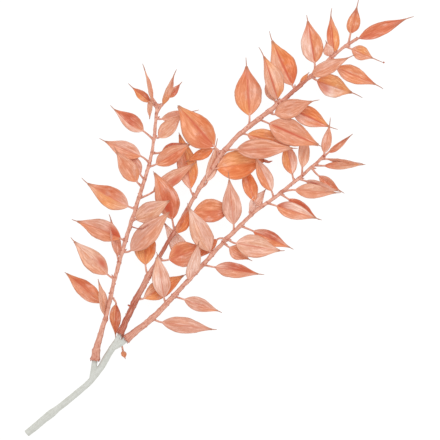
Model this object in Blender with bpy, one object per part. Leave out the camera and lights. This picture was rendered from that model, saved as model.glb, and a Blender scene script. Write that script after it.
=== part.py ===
"""A dried ruscus spray: a pale cut stem forks twice and carries three leafy fronds.

The spray lies on its lowest leaves. +Z is up, +Y runs from the cut end to the tip of the middle frond, and the origin
is under the middle of the spray's box, on the surface. Lengths are millimetres and angles are degrees, counter-clockwise
as seen from above. MM turns millimetres into Blender's metres.
"""

import math
import random
from collections import namedtuple

import bpy
from mathutils import Vector

for old in list(bpy.data.objects):
    bpy.data.objects.remove(old)

MM = 0.001

# Leaves: a blade of one thickness, folded along its midrib, on a round petiole
BLADE_THICKNESS = 0.7
BLADE_OUTLINE = ((0.0, 0.10), (0.12, 0.58), (0.30, 0.94), (0.48, 0.98), (0.68, 0.68), (0.86, 0.28), (1.0, 0.06))
PETIOLE_RADIUS = 0.9
PETIOLE_SIDES = 6
ELBOW_SHARE = 0.45
PETIOLE_RINGS = (0.0, 0.55)
MIDRIB_STEPS = 24
MOST_FOLD = 18.0
LEAST_FOLD = 8.0
MOST_ARCH = 22.0
LEAST_ARCH = 4.0

# Stems: round tubes whose rings follow the path
PATH_STEPS = 24
STEM_SIDES = 12
RACHIS_SIDES = 8
RING_SPACING = 8.5

# Sockets: each frond is pushed over the end of a pale arm
SOCKET_DEPTH = 8.0
SOCKET_GAP = 0.3
SOCKET_RUN_OUT = 4.0

ORANGE = (0.74, 0.28, 0.13, 1.0)
PALE_CREAM = (0.63, 0.61, 0.55, 1.0)
SHARP_ANGLE = 35.0

# Paths through hand-placed points (x, y, z), and radii as (length along the path, radius)
LEFT_PATH = (
    (41.6, -161, 11),
    (36, -153, 11.5),
    (28, -137, 12.5),
    (20, -121, 13.5),
    (6.5, -98, 15),
    (-6, -74, 16),
    (-18, -49, 17),
    (-30, -24, 17),
    (-42, 0, 17),
    (-52, 15, 16.5),
    (-67, 35, 15.5),
    (-72, 41, 15),
)
LEFT_RADII = ((0, 4.1), (9, 3.8), (10, 3.2), (27, 2.5), (40, 1.9), (150, 1.8), (190, 1.4), (215, 1.5), (232, 1.2))

MIDDLE_PATH = (
    (42, -128.4, 14),
    (38, -116, 14.5),
    (32, -98, 15.5),
    (26, -74.5, 17),
    (21, -54, 18),
    (13.5, -19, 19),
    (5.5, 15, 19.5),
    (1, 41, 19.5),
    (-0.5, 67, 20),
    (5, 104, 20),
    (9.5, 137, 20),
    (13, 178, 19),
    (18, 202, 18),
)
MIDDLE_RADII = ((0, 3.3), (15, 2.9), (55, 2.7), (66, 1.9), (140, 1.9), (165, 2.2), (245, 2.2), (270, 1.8), (337, 1.3))

RIGHT_PATH = (
    (49.3, -129, 13.5),
    (53, -103, 14),
    (54, -71.5, 14.5),
    (54, -38.5, 15),
    (54, -2, 15),
    (56, 30.5, 14.5),
    (60, 51, 14.5),
    (64, 78, 14),
    (67, 107, 13),
)
RIGHT_RADII = ((0, 3.9), (12, 3.2), (40, 2.6), (70, 2.1), (130, 1.9), (190, 1.5), (238, 1.3))

STEM_PATH = (
    (42, -250.3, 3.3),
    (44, -236, 4),
    (45.5, -224.5, 4.8),
    (48.5, -206, 6.5),
    (51, -186, 8.6),
    (51.5, -176, 9.7),
    (50, -162, 11),
    (47.5, -152, 12),
    (45.5, -142, 13.2),
    (44, -136, 13.6),
)
STEM_RADII = ((0, 3.4), (20, 3.6), (29, 3.9), (36, 3.1), (75, 2.9), (90, 3.3), (108, 3.3), (117, 2.3), (124, 1.9))
LEFT_ARM_PATH = ((51.5, -176, 9.7), (47.5, -169.5, 10.4))
RIGHT_ARM_PATH = ((46, -143, 13), (48.3, -136, 13.3))
LEFT_ARM_RADIUS = 2.7
MIDDLE_ARM_RADIUS = 1.9
RIGHT_ARM_RADIUS = 2.6

# Where each leaf leaves its stem and how its blade lies, from the stem's base to its tip.
# along: length along the stem to the petiole's root. out: heading of the petiole, and aim: heading of the blade, both
# from the stem's own heading. stalk, blade, wide, tail: petiole, blade length and width, bristle. lift: rise of the
# blade. roll: rise of its left edge. bend: how far the blade curves to the left from its base to its tip.
Leaf = namedtuple("Leaf", "along out stalk aim blade wide lift roll bend tail")

LEFT_LEAVES = (
    Leaf(36, 20, 5, 27, 30, 14, 12, 64, 0, 3),
    Leaf(38, 35, 14, 67, 41, 15, -14, 5, 0, 2),
    Leaf(57, -132, 8, -170, 29, 11, -20, 20, 0, 3),
    Leaf(73, 70, 8, 59, 41, 17, 8, 0, 0, 5),
    Leaf(88, 30, 6, 27, 35, 15, -20, 60, 0, 6),
    Leaf(98, -64, 8, -29, 48, 18, 16, 0, 0, 4),
    Leaf(108, 84, 5, 86, 49, 18, -32, 4, 10, 7),
    Leaf(126, -48, 4, -44, 37, 16.5, 24, 0, 0, 3),
    Leaf(137, 86, 7, 78, 41, 18, 10, 0, -8, 7),
    Leaf(147, -48, 14, -38, 43, 13, 0, 0, 0, 3),
    Leaf(157, 60, 7, 51, 32, 15, 14, 0, 0, 4),
    Leaf(164, 56, 6, 46, 25, 11, -12, 0, 0, 3),
    Leaf(176, -57, 7, -44, 35, 15, 10, 0, 0, 3),
    Leaf(179, 66, 10, 82, 34, 14.5, -6, 0, 0, 5),
    Leaf(188, -73, 9, -60, 23, 9.5, -12, 0, 0, 3),
    Leaf(200, 57, 12, 61, 32, 15, 16, 5, 0, 5),
    Leaf(204, -110, 4.5, -39, 28, 12.5, 5, 0, 0, 3),
    Leaf(219, -92, 5, -70, 27, 9, -14, 15, 0, 7),
    Leaf(223, -31, 7, -39, 25, 8, 2, 25, 0, 4),
    Leaf(225, 69, 5, 171, 13, 5.5, -8, 0, 0, 2),
    Leaf(228, 53, 8, 54, 21, 8.5, -14, 0, 0, 5),
    Leaf(229, 42, 5, 19, 36, 11, 20, 66, 0, 3),
    Leaf(230, -57, 5, -21, 24, 9, 22, 40, 0, 11),
)

MIDDLE_LEAVES = (
    Leaf(28, -168, 44, -140, 8, 5, -28, 10, 0, 1),
    Leaf(33, -58, 7, -33, 41, 16, -16, 0, 0, 4),
    Leaf(55, 42, 11, 31, 38, 19, -12, 0, 0, 3),
    Leaf(72, -58, 10, -40, 32, 21.5, -4, 0, 0, 2),
    Leaf(98, -43, 4, 4, 25, 12, 12, 40, 0, 3),
    Leaf(101, 42, 11, 52, 44, 20, 9, 0, 24, 2),
    Leaf(123, -78, 6, -57, 36, 20, -4, 0, 0, 3),
    Leaf(136, 57, 8, 39, 51, 18, -14, 0, 0, 2),
    Leaf(151, 14, 9, 13, 24, 12, -10, 60, 0, 15),
    Leaf(164, -47, 5, -47, 43, 25, -8, 0, 0, 10),
    Leaf(176, 81, 10, 146, 28, 11.5, -10, 0, 0, 2),
    Leaf(181, 93, 9, 74, 48.5, 22, 8, 0, 0, 1),
    Leaf(184, -47, 11, -52, 50, 17, 14, 0, 0, 5),
    Leaf(205, -53, 6, -54, 39, 16.5, -4, 0, 0, 3),
    Leaf(214, 48, 10, 55, 45, 23, -14, 0, 0, 7),
    Leaf(225, -61, 10, -61, 47, 22, 4, 0, 0, 4),
    Leaf(236, -64, 6, -20, 36, 16, 20, 0, 0, 6),
    Leaf(245, 79, 4, 67, 23, 12, -14, 0, 0, 3),
    Leaf(247, -62, 14, -64, 34.5, 18, 4, 0, 0, 8),
    Leaf(249, 92, 4, 70, 39.5, 22, 14, 36, 0, 9),
    Leaf(266, 85, 5, 74, 43, 22, -4, 0, 0, 8),
    Leaf(271, 40, 3, 9, 11, 4, 8, 30, 0, 1),
    Leaf(282, 2, 3, -18, 37, 12.5, 22, 0, 0, 6),
    Leaf(284, -77, 7, -60, 42.5, 19.5, -39, 0, 0, 12),
    Leaf(288, 45, 9, 57, 37, 19.5, 10, 0, 0, 7),
    Leaf(307, 58, 2, 64, 13, 9, 20, 0, 0, 2),
    Leaf(308, -102, 10, -64, 38, 15, -10, 0, 0, 10),
    Leaf(311, 37, 2, 54, 34, 12, -12, 20, 0, 7),
    Leaf(324, -57, 6, -56, 21, 12.5, -16, 0, 0, 11),
    Leaf(327, 45, 10, 44, 24, 12, 18, 15, 0, 7),
    Leaf(335, -12, 3, -12, 41, 12, 4, 0, 0, 11),
)

RIGHT_LEAVES = (
    Leaf(29, -66, 10, -52, 48, 14, -22, 0, 0, 5),
    Leaf(47, 65, 6, 52, 39, 15, 16, 0, 0, 3),
    Leaf(56, -63, 10, -65, 31.5, 12, -6, 0, 0, 4),
    Leaf(73, -20, 3.5, 30, 36, 13, 24, 45, 0, 3),
    Leaf(84, 73, 8, 75, 43.5, 14.5, -8, 0, 0, 3),
    Leaf(94, -60, 11, -56, 38.5, 14, 6, 0, 0, 5),
    Leaf(105, 64, 4, 68, 44, 17.5, 18, 0, 0, 4),
    Leaf(120, -83, 7, -78, 20, 12.5, -10, 0, 0, 3),
    Leaf(124, 135, 8, 178, 24, 10, -12, 25, 0, 3),
    Leaf(125, -74, 9, -55, 39.5, 19, 10, 0, 0, 5),
    Leaf(133, 44, 7, 51, 40, 16, 14, 0, 0, 7),
    Leaf(141, -66, 13, -68, 40, 13, -28, 0, 0, 4),
    Leaf(155, 80, 3.5, 12, 25, 12.5, -22, 30, 0, 3),
    Leaf(167, 110, 8, 72, 35, 12.5, -14, 0, 0, 3),
    Leaf(172, -51, 9, -51, 36, 14.5, 8, 0, 0, 5),
    Leaf(179, 69, 7, 79, 33.5, 12.5, 8, 0, 0, 3),
    Leaf(186, -71, 9, -72, 30.5, 10, -8, 0, 0, 3),
    Leaf(188, -29, 12, -42, 36, 12.5, 4, 0, 0, 4),
    Leaf(202, 64, 7, 62, 30, 13.5, -6, 0, 0, 3),
    Leaf(207, -60, 7, -57, 30, 11, 16, 45, 0, 3),
    Leaf(211, 48, 7, 46, 32, 11, -6, 25, 0, 3),
    Leaf(222, -90, 10, -76, 22.5, 8.5, -14, 15, 0, 5),
    Leaf(225, -45, 9, -40, 33, 7, 2, 15, 0, 3),
    Leaf(233, -42, 6, -49, 29, 8.5, 12, 60, 0, 3),
    Leaf(236, 38, 3.5, 38, 24.5, 8.5, 6, 10, 0, 6),
    Leaf(237, 0, 5, -4, 25, 8, -10, 50, 0, 3),
)

UP = Vector((0, 0, 1))


def direction(heading, lift):
    """The unit vector with this heading from +X and this rise above level."""
    turn, rise = math.radians(heading), math.radians(lift)
    return Vector((math.cos(turn) * math.cos(rise), math.sin(turn) * math.cos(rise), math.sin(rise)))


class Path:
    """A smooth path through a few points, read by the length along it."""

    def __init__(self, points):
        points = [Vector(point) for point in points]
        points = [2 * points[0] - points[1], *points, 2 * points[-1] - points[-2]]
        self.points = []
        for before, start, end, after in zip(points, points[1:], points[2:], points[3:]):
            for step in range(PATH_STEPS):
                t = step / PATH_STEPS
                self.points.append(
                    0.5 * (2 * start + (end - before) * t
                           + (2 * before - 5 * start + 4 * end - after) * t ** 2
                           + (3 * start - before - 3 * end + after) * t ** 3)
                )
        self.points.append(points[-2])
        self.lengths = [0.0]
        for start, end in zip(self.points, self.points[1:]):
            self.lengths.append(self.lengths[-1] + (end - start).length)
        self.length = self.lengths[-1]

    def at(self, along):
        """The point at this length along the path, and the path's direction there."""
        index = 0
        while index < len(self.points) - 2 and self.lengths[index + 1] < along:
            index += 1
        start, end = self.points[index], self.points[index + 1]
        share = (along - self.lengths[index]) / (self.lengths[index + 1] - self.lengths[index])
        return start.lerp(end, share), (end - start).normalized()


def radius_at(radii, along):
    """The radius there, on straight lines between the (length, radius) pairs."""
    for (start, first), (end, last) in zip(radii, radii[1:]):
        if along <= end:
            return first + (last - first) * max(0.0, along - start) / (end - start)
    return radii[-1][1]


def across(forward):
    """Two unit vectors across this direction: level to the left, and up."""
    left = UP.cross(forward).normalized()
    return left, forward.cross(left)


def solid(name, rings, tip=None, other_diagonal=()):
    """One closed mesh object from rings of equally many points, capped flat at its ends, or drawn to a tip.

    Each square between two rings is split into two triangles. The sides in other_diagonal are split the other way.
    """
    sides = len(rings[0])
    points = [point for ring in rings for point in ring]
    faces = [tuple(reversed(range(sides)))]
    for ring in range(len(rings) - 1):
        for side in range(sides):
            a, b = ring * sides + side, ring * sides + (side + 1) % sides
            c, d = b + sides, a + sides
            faces += [(a, b, d), (b, c, d)] if side in other_diagonal else [(a, b, c), (a, c, d)]
    last = (len(rings) - 1) * sides
    if tip is None:
        faces.append(tuple(range(last, last + sides)))
    else:
        points.append(tip)
        faces += [(last + side, last + (side + 1) % sides, len(points) - 1) for side in range(sides)]
    mesh = bpy.data.meshes.new(name)
    mesh.from_pydata([point * MM for point in points], [], faces)
    obj = bpy.data.objects.new(name, mesh)
    bpy.context.scene.collection.objects.link(obj)
    return obj


def tube(name, path, radii, sides, start=0.0, end=None):
    """A round tube along a stretch of the path, its rings squarely across it."""
    end = path.length if end is None else end
    count = max(1, round((end - start) / RING_SPACING))
    rings = []
    for ring in range(count + 1):
        along = start + (end - start) * ring / count
        centre, forward = path.at(along)
        left, up = across(forward)
        radius = radius_at(radii, along)
        angles = [math.tau * (side + 0.5) / sides for side in range(sides)]
        rings.append([centre + radius * (math.cos(a) * left + math.sin(a) * up) for a in angles])
    return solid(name, rings)


def midrib(leaf, base, heading, arch):
    """Points and directions down the blade's middle, one for each pair in BLADE_OUTLINE, and the bristle's tip."""
    points, forwards = [base], []
    for step in range(MIDRIB_STEPS):
        t = (step + 0.5) / MIDRIB_STEPS
        forward = direction(heading + leaf.aim + leaf.bend * (t - 0.5), leaf.lift + arch * (0.5 - t))
        forwards.append(forward)
        points.append(points[-1] + forward * leaf.blade / MIDRIB_STEPS)
    spots = []
    for t, _ in BLADE_OUTLINE:
        index = round(t * MIDRIB_STEPS)
        spots.append((points[index], forwards[min(index, MIDRIB_STEPS - 1)]))
    return spots, points[-1] + forwards[-1] * leaf.tail


def laid(ring, upper):
    """The ring with nothing of it under the surface: its lower points stop there, and its upper ones above those."""
    for index, point in enumerate(ring):
        point.z = max(point.z, BLADE_THICKNESS if index in upper else 0.0)
    return ring


def leaf_solid(name, path, leaf, draws):
    """A leaf with its petiole's root on the stem's axis: six points across, three on the blade's upper face."""
    fold = math.radians(draws.uniform(LEAST_FOLD, MOST_FOLD))
    arch = draws.uniform(LEAST_ARCH, MOST_ARCH) * (-1 if leaf.lift < 0 else 1)
    root, ahead = path.at(leaf.along)
    heading = math.degrees(math.atan2(ahead.y, ahead.x))
    base = root + leaf.stalk * direction(heading + leaf.out, leaf.lift / 2)
    spots, tip = midrib(leaf, base, heading, arch)
    elbow = base - ELBOW_SHARE * leaf.stalk * spots[0][1]

    rings = []
    for share in PETIOLE_RINGS:
        centre = root.lerp(elbow, share).lerp(elbow.lerp(base, share), share)
        forward = (elbow - root).lerp(base - elbow, share).normalized()
        left, up = across(forward)
        angles = [math.tau * (side + 0.5) / PETIOLE_SIDES for side in range(PETIOLE_SIDES)]
        rings.append([centre + PETIOLE_RADIUS * (math.cos(a) * left + math.sin(a) * up) for a in angles])

    roll = math.radians(leaf.roll)
    for (centre, forward), (_, share) in zip(spots, BLADE_OUTLINE):
        level, up = across(forward)
        left = math.cos(roll) * level + math.sin(roll) * up
        up = forward.cross(left)
        out = share * leaf.wide / 2 * math.cos(fold)
        rise = share * leaf.wide / 2 * math.sin(fold)
        upper = [centre + out * left + rise * up, centre, centre - out * left + rise * up]
        lower = [point - BLADE_THICKNESS * up for point in reversed(upper)]
        rings.append([point + BLADE_THICKNESS / 2 * up for point in upper + lower])
    rings = [laid(ring, upper=(0, 1, 2)) for ring in rings]
    return solid(name, rings, laid([tip], upper=(0,))[0], other_diagonal=(1, 4))


def joined(body, pieces, operation="UNION", solver="EXACT"):
    """The body with the pieces united to it, or cut from it, in one applied Boolean. The pieces are then removed."""
    group = bpy.data.collections.new(body.name + "_pieces")
    bpy.context.scene.collection.children.link(group)
    for piece in pieces:
        group.objects.link(piece)
        bpy.context.scene.collection.objects.unlink(piece)
    join = body.modifiers.new("join", "BOOLEAN")
    join.operation = operation
    join.operand_type = "COLLECTION"
    join.collection = group
    join.solver = solver
    bpy.context.view_layer.update()
    mesh = bpy.data.meshes.new_from_object(body.evaluated_get(bpy.context.evaluated_depsgraph_get()))
    body.modifiers.remove(join)
    body.data = mesh
    for piece in pieces:
        bpy.data.objects.remove(piece)
    bpy.data.collections.remove(group)
    return body


def finished(obj, name, colour, roughness):
    """The object under its own name, with its own plain material, its round sides shaded smooth."""
    obj.name = obj.data.name = name
    material = bpy.data.materials.new(name)
    material.use_nodes = True
    shader = material.node_tree.nodes["Principled BSDF"]
    shader.inputs["Base Color"].default_value = colour
    shader.inputs["Roughness"].default_value = roughness
    shader.inputs["Metallic"].default_value = 0.0
    obj.data.materials.clear()
    obj.data.materials.append(material)
    obj.data.shade_smooth()
    obj.data.set_sharp_from_angle(angle=math.radians(SHARP_ANGLE))
    return obj


def frond(name, plan):
    """A rachis with its leaves fused on, and a blind socket in its base for the pale arm."""
    draws = random.Random(plan.seed)
    rachis = tube(name, plan.path, plan.radii, RACHIS_SIDES)
    pieces = [leaf_solid(f"{name}_leaf_{i}", plan.path, leaf, draws) for i, leaf in enumerate(plan.leaves)]
    joined(rachis, pieces)
    hole = ((0, plan.arm_radius + SOCKET_GAP),)
    socket = tube(name + "_socket", plan.path, hole, STEM_SIDES, start=-SOCKET_RUN_OUT, end=SOCKET_DEPTH + SOCKET_GAP)
    joined(rachis, [socket], operation="DIFFERENCE")
    return finished(rachis, name, ORANGE, 0.75)


def arm_path(route, plan):
    """The route run on through the mouth of the frond's socket to its bottom."""
    mouth, _ = plan.path.at(0)
    bottom, _ = plan.path.at(SOCKET_DEPTH)
    return Path((*route, mouth, bottom))


def pale_stem(fronds):
    """The bare stem, which runs on into the middle frond, with an arm on each side. Each ends inside its frond."""
    routes = {"left_frond": LEFT_ARM_PATH, "right_frond": RIGHT_ARM_PATH}
    stem = tube("pale_stem", arm_path(STEM_PATH, fronds["middle_frond"]), STEM_RADII, STEM_SIDES)
    arms = []
    for name, route in routes.items():
        plan = fronds[name]
        arms.append(tube(name + "_arm", arm_path(route, plan), ((0, plan.arm_radius),), STEM_SIDES))
    return finished(joined(stem, arms), "pale_stem", PALE_CREAM, 0.6)


Frond = namedtuple("Frond", "path radii leaves arm_radius seed")
FRONDS = {
    "left_frond": Frond(Path(LEFT_PATH), LEFT_RADII, LEFT_LEAVES, LEFT_ARM_RADIUS, 1),
    "middle_frond": Frond(Path(MIDDLE_PATH), MIDDLE_RADII, MIDDLE_LEAVES, MIDDLE_ARM_RADIUS, 2),
    "right_frond": Frond(Path(RIGHT_PATH), RIGHT_RADII, RIGHT_LEAVES, RIGHT_ARM_RADIUS, 3),
}

pale_stem(FRONDS)
for title, plan in FRONDS.items():
    frond(title, plan)
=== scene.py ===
# %% [markdown]
# # A dried ruscus spray
# This lesson dresses a packed CAD model in Blender 4.5. The object is a dried spray: a pale bare stem that forks twice
# and carries three orange fronds of papery, pointed leaves. The CAD solids fix every size. The cells below make finer
# leaves, stems and bristles in the same places, and give them materials.

# %% Load the packed model
import math
import random
from collections import namedtuple

import bpy
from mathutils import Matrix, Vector, noise
from mathutils.kdtree import KDTree


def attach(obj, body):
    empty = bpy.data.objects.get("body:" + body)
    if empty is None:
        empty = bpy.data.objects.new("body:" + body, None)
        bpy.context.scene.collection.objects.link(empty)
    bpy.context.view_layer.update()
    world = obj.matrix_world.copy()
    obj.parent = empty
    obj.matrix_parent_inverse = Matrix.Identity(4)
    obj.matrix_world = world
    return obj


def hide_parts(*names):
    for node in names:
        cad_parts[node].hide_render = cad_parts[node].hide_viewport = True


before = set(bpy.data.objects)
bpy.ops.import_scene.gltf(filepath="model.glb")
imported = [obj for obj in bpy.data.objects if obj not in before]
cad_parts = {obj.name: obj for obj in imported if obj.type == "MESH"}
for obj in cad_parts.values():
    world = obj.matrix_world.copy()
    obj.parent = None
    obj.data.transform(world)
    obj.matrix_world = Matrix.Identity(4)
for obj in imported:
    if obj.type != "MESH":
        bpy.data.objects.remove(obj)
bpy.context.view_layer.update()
MM = 0.001

# %% [markdown]
# ## The camera
# The spray is seen from straight above through a long lens, so leaves at different heights keep their true places. The
# camera is rolled, because the spray's long side runs up and to the right of the picture. A camera looks down its own
# -Z axis, so one turn about Z is all it needs.

# %% Camera straight above
LENS_MM = 200.0
SENSOR_MM = 36.0
VIEW_CENTRE = (38.3, 3.4)
VIEW_WIDTH_MM = 385.0
LEAF_LEVEL_MM = 17.0
CAMERA_ROLL = math.radians(43)


def linked(name, data):
    """A new object in the scene that shows this data."""
    obj = bpy.data.objects.new(name, data)
    bpy.context.scene.collection.objects.link(obj)
    return obj


lens = bpy.data.cameras.new("camera")
lens.lens, lens.sensor_width = LENS_MM, SENSOR_MM
camera = linked("camera", lens)
reach = VIEW_WIDTH_MM * LENS_MM / SENSOR_MM
camera.location = (VIEW_CENTRE[0] * MM, VIEW_CENTRE[1] * MM, (LEAF_LEVEL_MM + reach) * MM)
camera.rotation_euler = (0, 0, CAMERA_ROLL)
bpy.context.scene.camera = camera
print(f"camera {reach:.0f} mm above the leaves")

# %% [markdown]
# ## Floor and light
# The spray lies on a white table under soft studio light. A white world lights it from all sides, and one large weak
# lamp gives the folded leaves a light half and a darker half. The leaves stand up to 36 mm off the table, so a plain
# floor would show a wide grey shadow. A light table solves that, as in a studio: the floor glows just white, so its
# shadows stay white too. It glows no brighter than white, because a brighter floor would eat the thin stalks and
# bristles at their edges. The Standard view keeps the orange as strong as it is in the materials.

# %% Table top
FLOOR_SIDE_M = 8.0
FLOOR_GLOW = 0.93
FLOOR_TONE = 0.1
FLOOR_ROUGHNESS = 0.9
WHITE = (1, 1, 1, 1)

bpy.context.scene.view_settings.view_transform = "Standard"
half_floor = FLOOR_SIDE_M / 2
floor_mesh = bpy.data.meshes.new("table_top")
floor_mesh.from_pydata([(-half_floor, -half_floor, 0), (half_floor, -half_floor, 0), (half_floor, half_floor, 0),
                        (-half_floor, half_floor, 0)], [], [(0, 1, 2, 3)])
floor = linked("table_top", floor_mesh)
floor_paint = bpy.data.materials.new("white_table")
floor_paint.use_nodes = True
floor_shader = floor_paint.node_tree.nodes["Principled BSDF"].inputs
floor_shader["Base Color"].default_value = (FLOOR_TONE, FLOOR_TONE, FLOOR_TONE, 1)
floor_shader["Roughness"].default_value = FLOOR_ROUGHNESS
floor_shader["Emission Color"].default_value = WHITE
floor_shader["Emission Strength"].default_value = FLOOR_GLOW
floor_mesh.materials.append(floor_paint)
print("table top of", FLOOR_SIDE_M, "m, glow", FLOOR_GLOW)

# %% Lamp and world
WORLD_LIGHT = 0.93
LAMP_SIZE_M = 0.9
LAMP_POWER_W = 6.0
LAMP_PLACE = (-0.3, 0.75, 1.25)
LAMP_TARGET = (0.02, 0.0, 0.02)

softbox = bpy.data.lights.new("softbox", "AREA")
softbox.shape, softbox.size, softbox.energy = "SQUARE", LAMP_SIZE_M, LAMP_POWER_W
lamp = linked("softbox", softbox)
lamp.location = LAMP_PLACE
lamp.rotation_euler = (Vector(LAMP_TARGET) - lamp.location).to_track_quat("-Z", "Y").to_euler()

world = bpy.data.worlds.new("white_room")
world.use_nodes = True
background = world.node_tree.nodes["Background"].inputs
background["Color"].default_value = WHITE
background["Strength"].default_value = WORLD_LIGHT
bpy.context.scene.world = world
print("world light", WORLD_LIGHT, "lamp", LAMP_POWER_W, "W")

# %% [markdown]
# ## Dye colours and painted light
# The spray is dyed, and no two leaves took the dye alike: the faces run from pale peach to deep red. Each colour has
# one letter here, and each leaf half gets three letters, for its base, middle and tip. The letters also hold painted
# light
# and shade: a folded leaf's lit half often gets paler letters and its shaded half deeper ones, W also paints
# highlights, and W, V and G lighten leaves that lie in the shade of others or tilt away from the lamp. The colours
# are typed as they look on a screen, and turned to the linear values that shaders use.

# %% Dyes
# Each letter is a colour; W also stands for painted highlights, and W, V and G also paint light on leaves in shade.
DYES_AND_PAINTED_LIGHT = {
    "W": (243, 206, 190), "K": (232, 180, 159), "P": (232, 181, 155), "T": (229, 174, 145), "M": (220, 164, 143),
    "S": (226, 160, 130), "N": (216, 147, 118), "O": (229, 152, 111), "Y": (234, 160, 106), "B": (233, 141, 88),
    "D": (218, 128, 92), "R": (205, 110, 82), "X": (188, 116, 94), "V": (251, 226, 212), "G": (245, 180, 124),
}


def linear(colour):
    """Screen values from 0 to 255 as the linear values that shaders use."""
    shares = [value / 255 for value in colour]
    return [s / 12.92 if s <= 0.04045 else ((s + 0.055) / 1.055) ** 2.4 for s in shares]


def paint(colour):
    """A screen colour as an opaque linear one."""
    return (*linear(colour), 1)


def dye_and_light_at(letters, t):
    """The colour this far along a half with these letters, base to tip: dyes and the painted light they hold."""
    place = min(max(t, 0.0), 1.0) * (len(letters) - 1)
    index = min(int(place), len(letters) - 2)
    share = place - index
    share = share * share * (3 - 2 * share)
    first, second = linear(DYES_AND_PAINTED_LIGHT[letters[index]]), linear(DYES_AND_PAINTED_LIGHT[letters[index + 1]])
    return [a + (b - a) * share for a, b in zip(first, second)]


print("dyes:", len(DYES_AND_PAINTED_LIGHT), "orange is", [round(v, 3) for v in linear(DYES_AND_PAINTED_LIGHT["O"])])

# %% [markdown]
# ## Paths and leaves
# The fronds follow the same points as the solids, in millimetres. Nearly every leaf stands where its solid
# does, and about a dozen were moved or turned a little once they could be seen with their colours on. A leaf is one
# row: how far up its stem it sits, where its stalk and blade point from the stem's own heading, its lengths, its lean,
# and then its colour letters: dyes with painted light and shade.

# %% A smooth path
PATH_STEPS = 24
UP = Vector((0, 0, 1))


class Path:
    """A smooth path through a few points, read by the length along it."""

    def __init__(self, points):
        points = [Vector(point) for point in points]
        points = [2 * points[0] - points[1], *points, 2 * points[-1] - points[-2]]
        self.points = []
        for before, start, end, after in zip(points, points[1:], points[2:], points[3:]):
            for step in range(PATH_STEPS):
                t = step / PATH_STEPS
                self.points.append(0.5 * (2 * start + (end - before) * t
                                          + (2 * before - 5 * start + 4 * end - after) * t ** 2
                                          + (3 * start - before - 3 * end + after) * t ** 3))
        self.points.append(points[-2])
        self.lengths = [0.0]
        for start, end in zip(self.points, self.points[1:]):
            self.lengths.append(self.lengths[-1] + (end - start).length)
        self.length = self.lengths[-1]

    def at(self, along):
        """The point at this length along the path, and the path's direction there."""
        index = 0
        while index < len(self.points) - 2 and self.lengths[index + 1] < along:
            index += 1
        start, end = self.points[index], self.points[index + 1]
        share = (along - self.lengths[index]) / (self.lengths[index + 1] - self.lengths[index])
        return start.lerp(end, share), (end - start).normalized()


def between(pairs, along):
    """The value there, on straight lines between (length, value) pairs."""
    for (start, first), (end, last) in zip(pairs, pairs[1:]):
        if along <= end:
            return first + (last - first) * max(0.0, along - start) / (end - start)
    return pairs[-1][1]


def direction(heading, lift):
    """The unit vector with this heading from +X and this rise above level, in degrees."""
    turn, rise = math.radians(heading), math.radians(lift)
    return Vector((math.cos(turn) * math.cos(rise), math.sin(turn) * math.cos(rise), math.sin(rise)))


def across(forward):
    """Two unit vectors across this direction: level to the left, and up."""
    left = UP.cross(forward).normalized()
    return left, forward.cross(left)


print("straight up the picture points to", [round(v, 2) for v in direction(90 + math.degrees(CAMERA_ROLL), 0)])

# %% Paths of the fronds' own stems
LEFT_PATH = ((41.6, -161, 11), (36, -153, 11.5), (28, -137, 12.5), (20, -121, 13.5), (6.5, -98, 15), (-6, -74, 16),
             (-18, -49, 17), (-30, -24, 17), (-42, 0, 17), (-52, 15, 16.5), (-67, 35, 15.5), (-72, 41, 15))
LEFT_RADII = ((0, 4.1), (9, 3.8), (10, 3.2), (27, 2.5), (40, 1.9), (150, 1.8), (190, 1.4), (215, 1.5), (232, 1.2))
MIDDLE_PATH = ((42, -128.4, 14), (38, -116, 14.5), (32, -98, 15.5), (26, -74.5, 17), (21, -54, 18), (13.5, -19, 19),
               (5.5, 15, 19.5), (1, 41, 19.5), (-0.5, 67, 20), (5, 104, 20), (9.5, 137, 20), (13, 178, 19),
               (18, 202, 18))
MIDDLE_RADII = ((0, 3.3), (15, 2.9), (55, 2.7), (66, 1.9), (140, 1.9), (165, 2.2), (245, 2.2), (270, 1.8), (337, 1.3))
RIGHT_PATH = ((49.3, -129, 13.5), (53, -103, 14), (54, -71.5, 14.5), (54, -38.5, 15), (54, -2, 15), (56, 30.5, 14.5),
              (60, 51, 14.5), (64, 78, 14), (67, 107, 13))
RIGHT_RADII = ((0, 3.9), (12, 3.2), (40, 2.6), (70, 2.1), (130, 1.9), (190, 1.5), (238, 1.3))
print("stem lengths in mm:", [round(Path(points).length) for points in (LEFT_PATH, MIDDLE_PATH, RIGHT_PATH)])

# %% Leaves of the left frond
# along out stalk aim blade wide lift roll bend tail: as in the solids. left, right: colour letters of the two halves,
# from base to tip, dyes with painted light and shade in them. crease: more or less fold than the solid has. rib: how
# dark the midrib is. split: how far to the left of the midrib the two colours meet, as a share of the half. mark: a
# deep spot's place along and across, and its strength. lop: how much wider the left half is.
FIELDS = "along out stalk aim blade wide lift roll bend tail left right crease rib split mark lop"
Leaf = namedtuple("Leaf", FIELDS, defaults=(0, 0.4, 0, None, 0))


def tell_blades(side, leaves):
    """Prints how long the blades of a frond are."""
    blades = [leaf.blade for leaf in leaves]
    print(side, "blades from", min(blades), "to", max(blades), "mm")


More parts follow.
